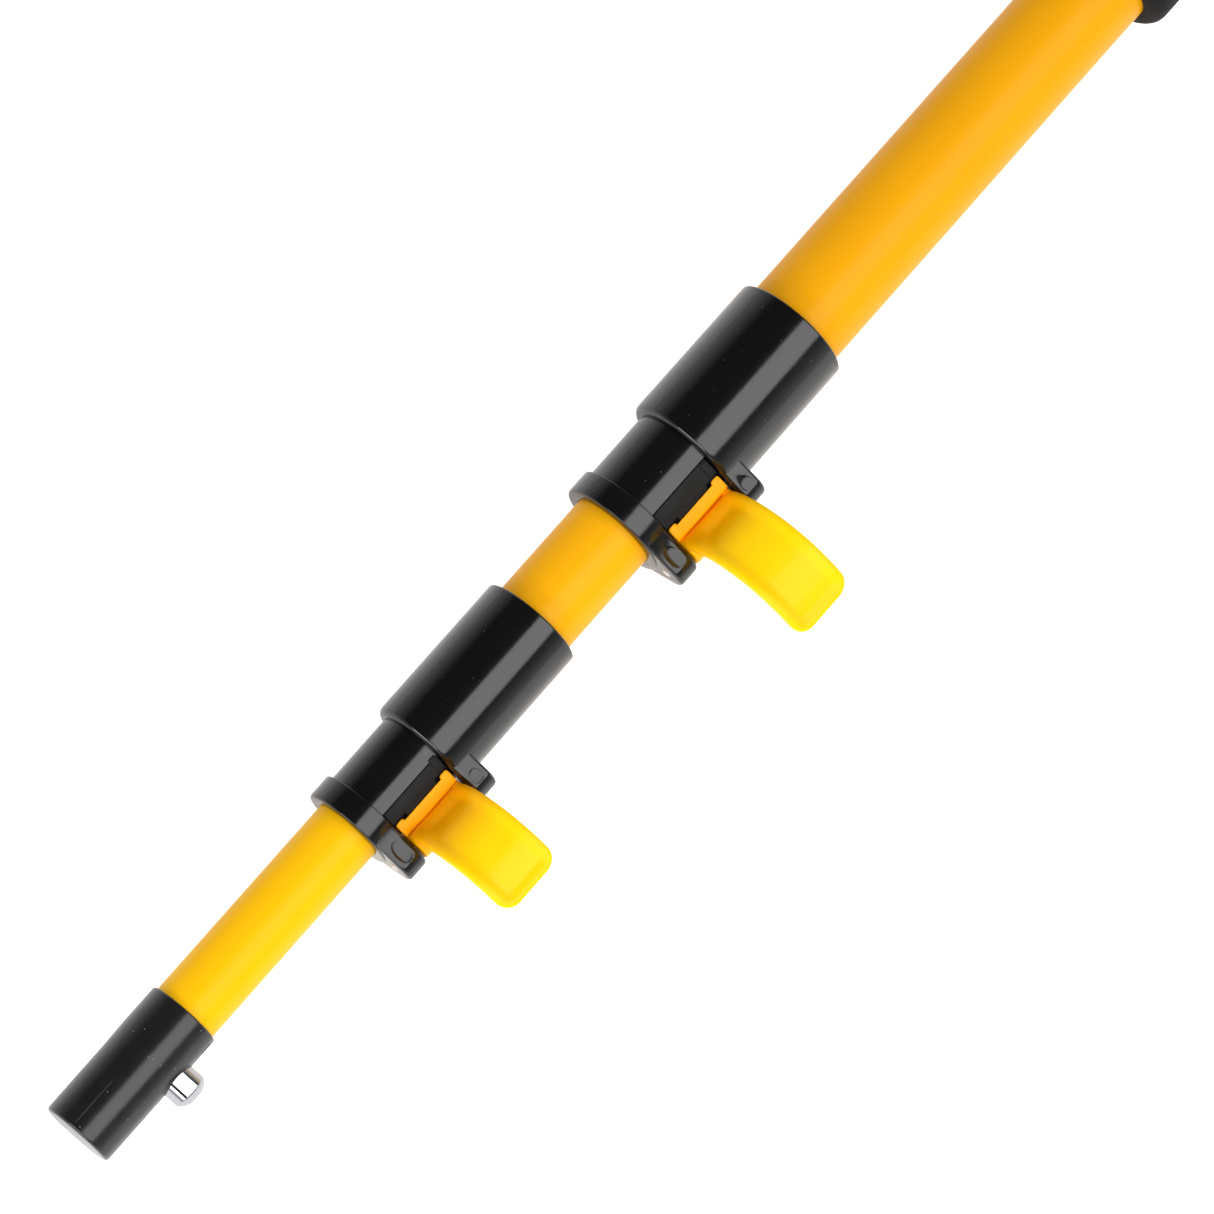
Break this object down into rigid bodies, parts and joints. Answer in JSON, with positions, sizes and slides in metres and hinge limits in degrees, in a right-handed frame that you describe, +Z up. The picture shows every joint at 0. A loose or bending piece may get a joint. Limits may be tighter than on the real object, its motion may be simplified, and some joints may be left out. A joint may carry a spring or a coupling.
{
  "type": "telescopic snow tool pole",
  "caption": "Telescopic pole for a snow tool, with cam-lever clamps between its tubes, a foam grip at the butt and a snap-button ferrule that takes the tool head.",
  "frame": {"origin": "centre of the end cap's flat face at the butt end", "axes": "+X along the pole from the butt to the ferrule, +Y to the side where the levers stand open, +Z up, to the side that shows the levers' outer faces"},
  "size_m": [0.561, 0.0822, 0.0438],
  "materials": {
    "orange_paint": "satin powder coat",
    "black_gloss_plastic": "glossy moulded",
    "yellow_plastic": "semi-gloss moulded",
    "black_foam": "fine closed-cell foam",
    "black_matte_plastic": "fine grain",
    "chrome": "polished",
    "plated_steel": "zinc plated"
  },
  "bodies": {
    "outer_stage": {"end_cap": "black_matte_plastic", "grip_sleeve": "black_foam", "outer_tube": "orange_paint", "rear_clamp_body": "black_gloss_plastic", "rear_clamp_screw": "plated_steel", "rear_lever_pin": "plated_steel"},
    "rear_lever": {"rear_lever": "yellow_plastic"},
    "rear_shoe": {"rear_brake_shoe": "black_gloss_plastic"},
    "middle_bush": {"middle_guide_bush": "black_matte_plastic"},
    "middle_stage": {"middle_tube": "orange_paint", "front_clamp_body": "black_gloss_plastic", "front_clamp_screw": "plated_steel", "front_lever_pin": "plated_steel"},
    "front_lever": {"front_lever": "yellow_plastic"},
    "front_shoe": {"front_brake_shoe": "black_gloss_plastic"},
    "inner_bush": {"inner_guide_bush": "black_matte_plastic"},
    "inner_stage": {"inner_tube": "orange_paint", "tip_ferrule": "black_gloss_plastic", "button_spring": "plated_steel"},
    "button": {"snap_button": "chrome"}
  },
  "joints": [
    {"name": "middle_slide", "type": "slide", "parent": "outer_stage", "child": "middle_bush", "axis": [1, 0, 0], "range_m": [-0.034, 0.236]},
    {"name": "middle_swivel", "type": "hinge", "parent": "middle_bush", "child": "middle_stage", "pos_m": [0.06, 0, 0], "axis": [1, 0, 0], "continuous": true},
    {"name": "rear_lever_hinge", "type": "hinge", "parent": "outer_stage", "child": "rear_lever", "pos_m": [0.3336, 0.0194, 0.0021], "axis": [1, 0, 0], "range_deg": [-160, 0]},
    {"name": "rear_shoe_press", "type": "slide", "parent": "outer_stage", "child": "rear_shoe", "axis": [0, -1, 0], "range_m": [0, 0.0003]},
    {"name": "front_lever_hinge", "type": "hinge", "parent": "middle_stage", "child": "front_lever", "pos_m": [0.4459, 0.0169, 0.0021], "axis": [1, 0, 0], "range_deg": [-170, 0]},
    {"name": "front_shoe_press", "type": "slide", "parent": "middle_stage", "child": "front_shoe", "axis": [0, -1, 0], "range_m": [0, 0.0003]},
    {"name": "inner_slide", "type": "slide", "parent": "middle_stage", "child": "inner_bush", "axis": [1, 0, 0], "range_m": [-0.067, 0.203]},
    {"name": "inner_swivel", "type": "hinge", "parent": "inner_bush", "child": "inner_stage", "pos_m": [0.205, 0, 0], "axis": [1, 0, 0], "continuous": true},
    {"name": "button_slide", "type": "slide", "parent": "inner_stage", "child": "button", "axis": [0, -0.9781, 0.2079], "range_m": [0, 0.0068], "stiffness_N_per_m": 800, "springref_m": -0.002, "deforming": ["button_spring"]}
  ],
  "couplings": [
    {"joint": "rear_shoe_press", "follows": "rear_lever_hinge", "m_per_rad": -0.0001074},
    {"joint": "front_shoe_press", "follows": "front_lever_hinge", "m_per_rad": -0.0001011}
  ]
}
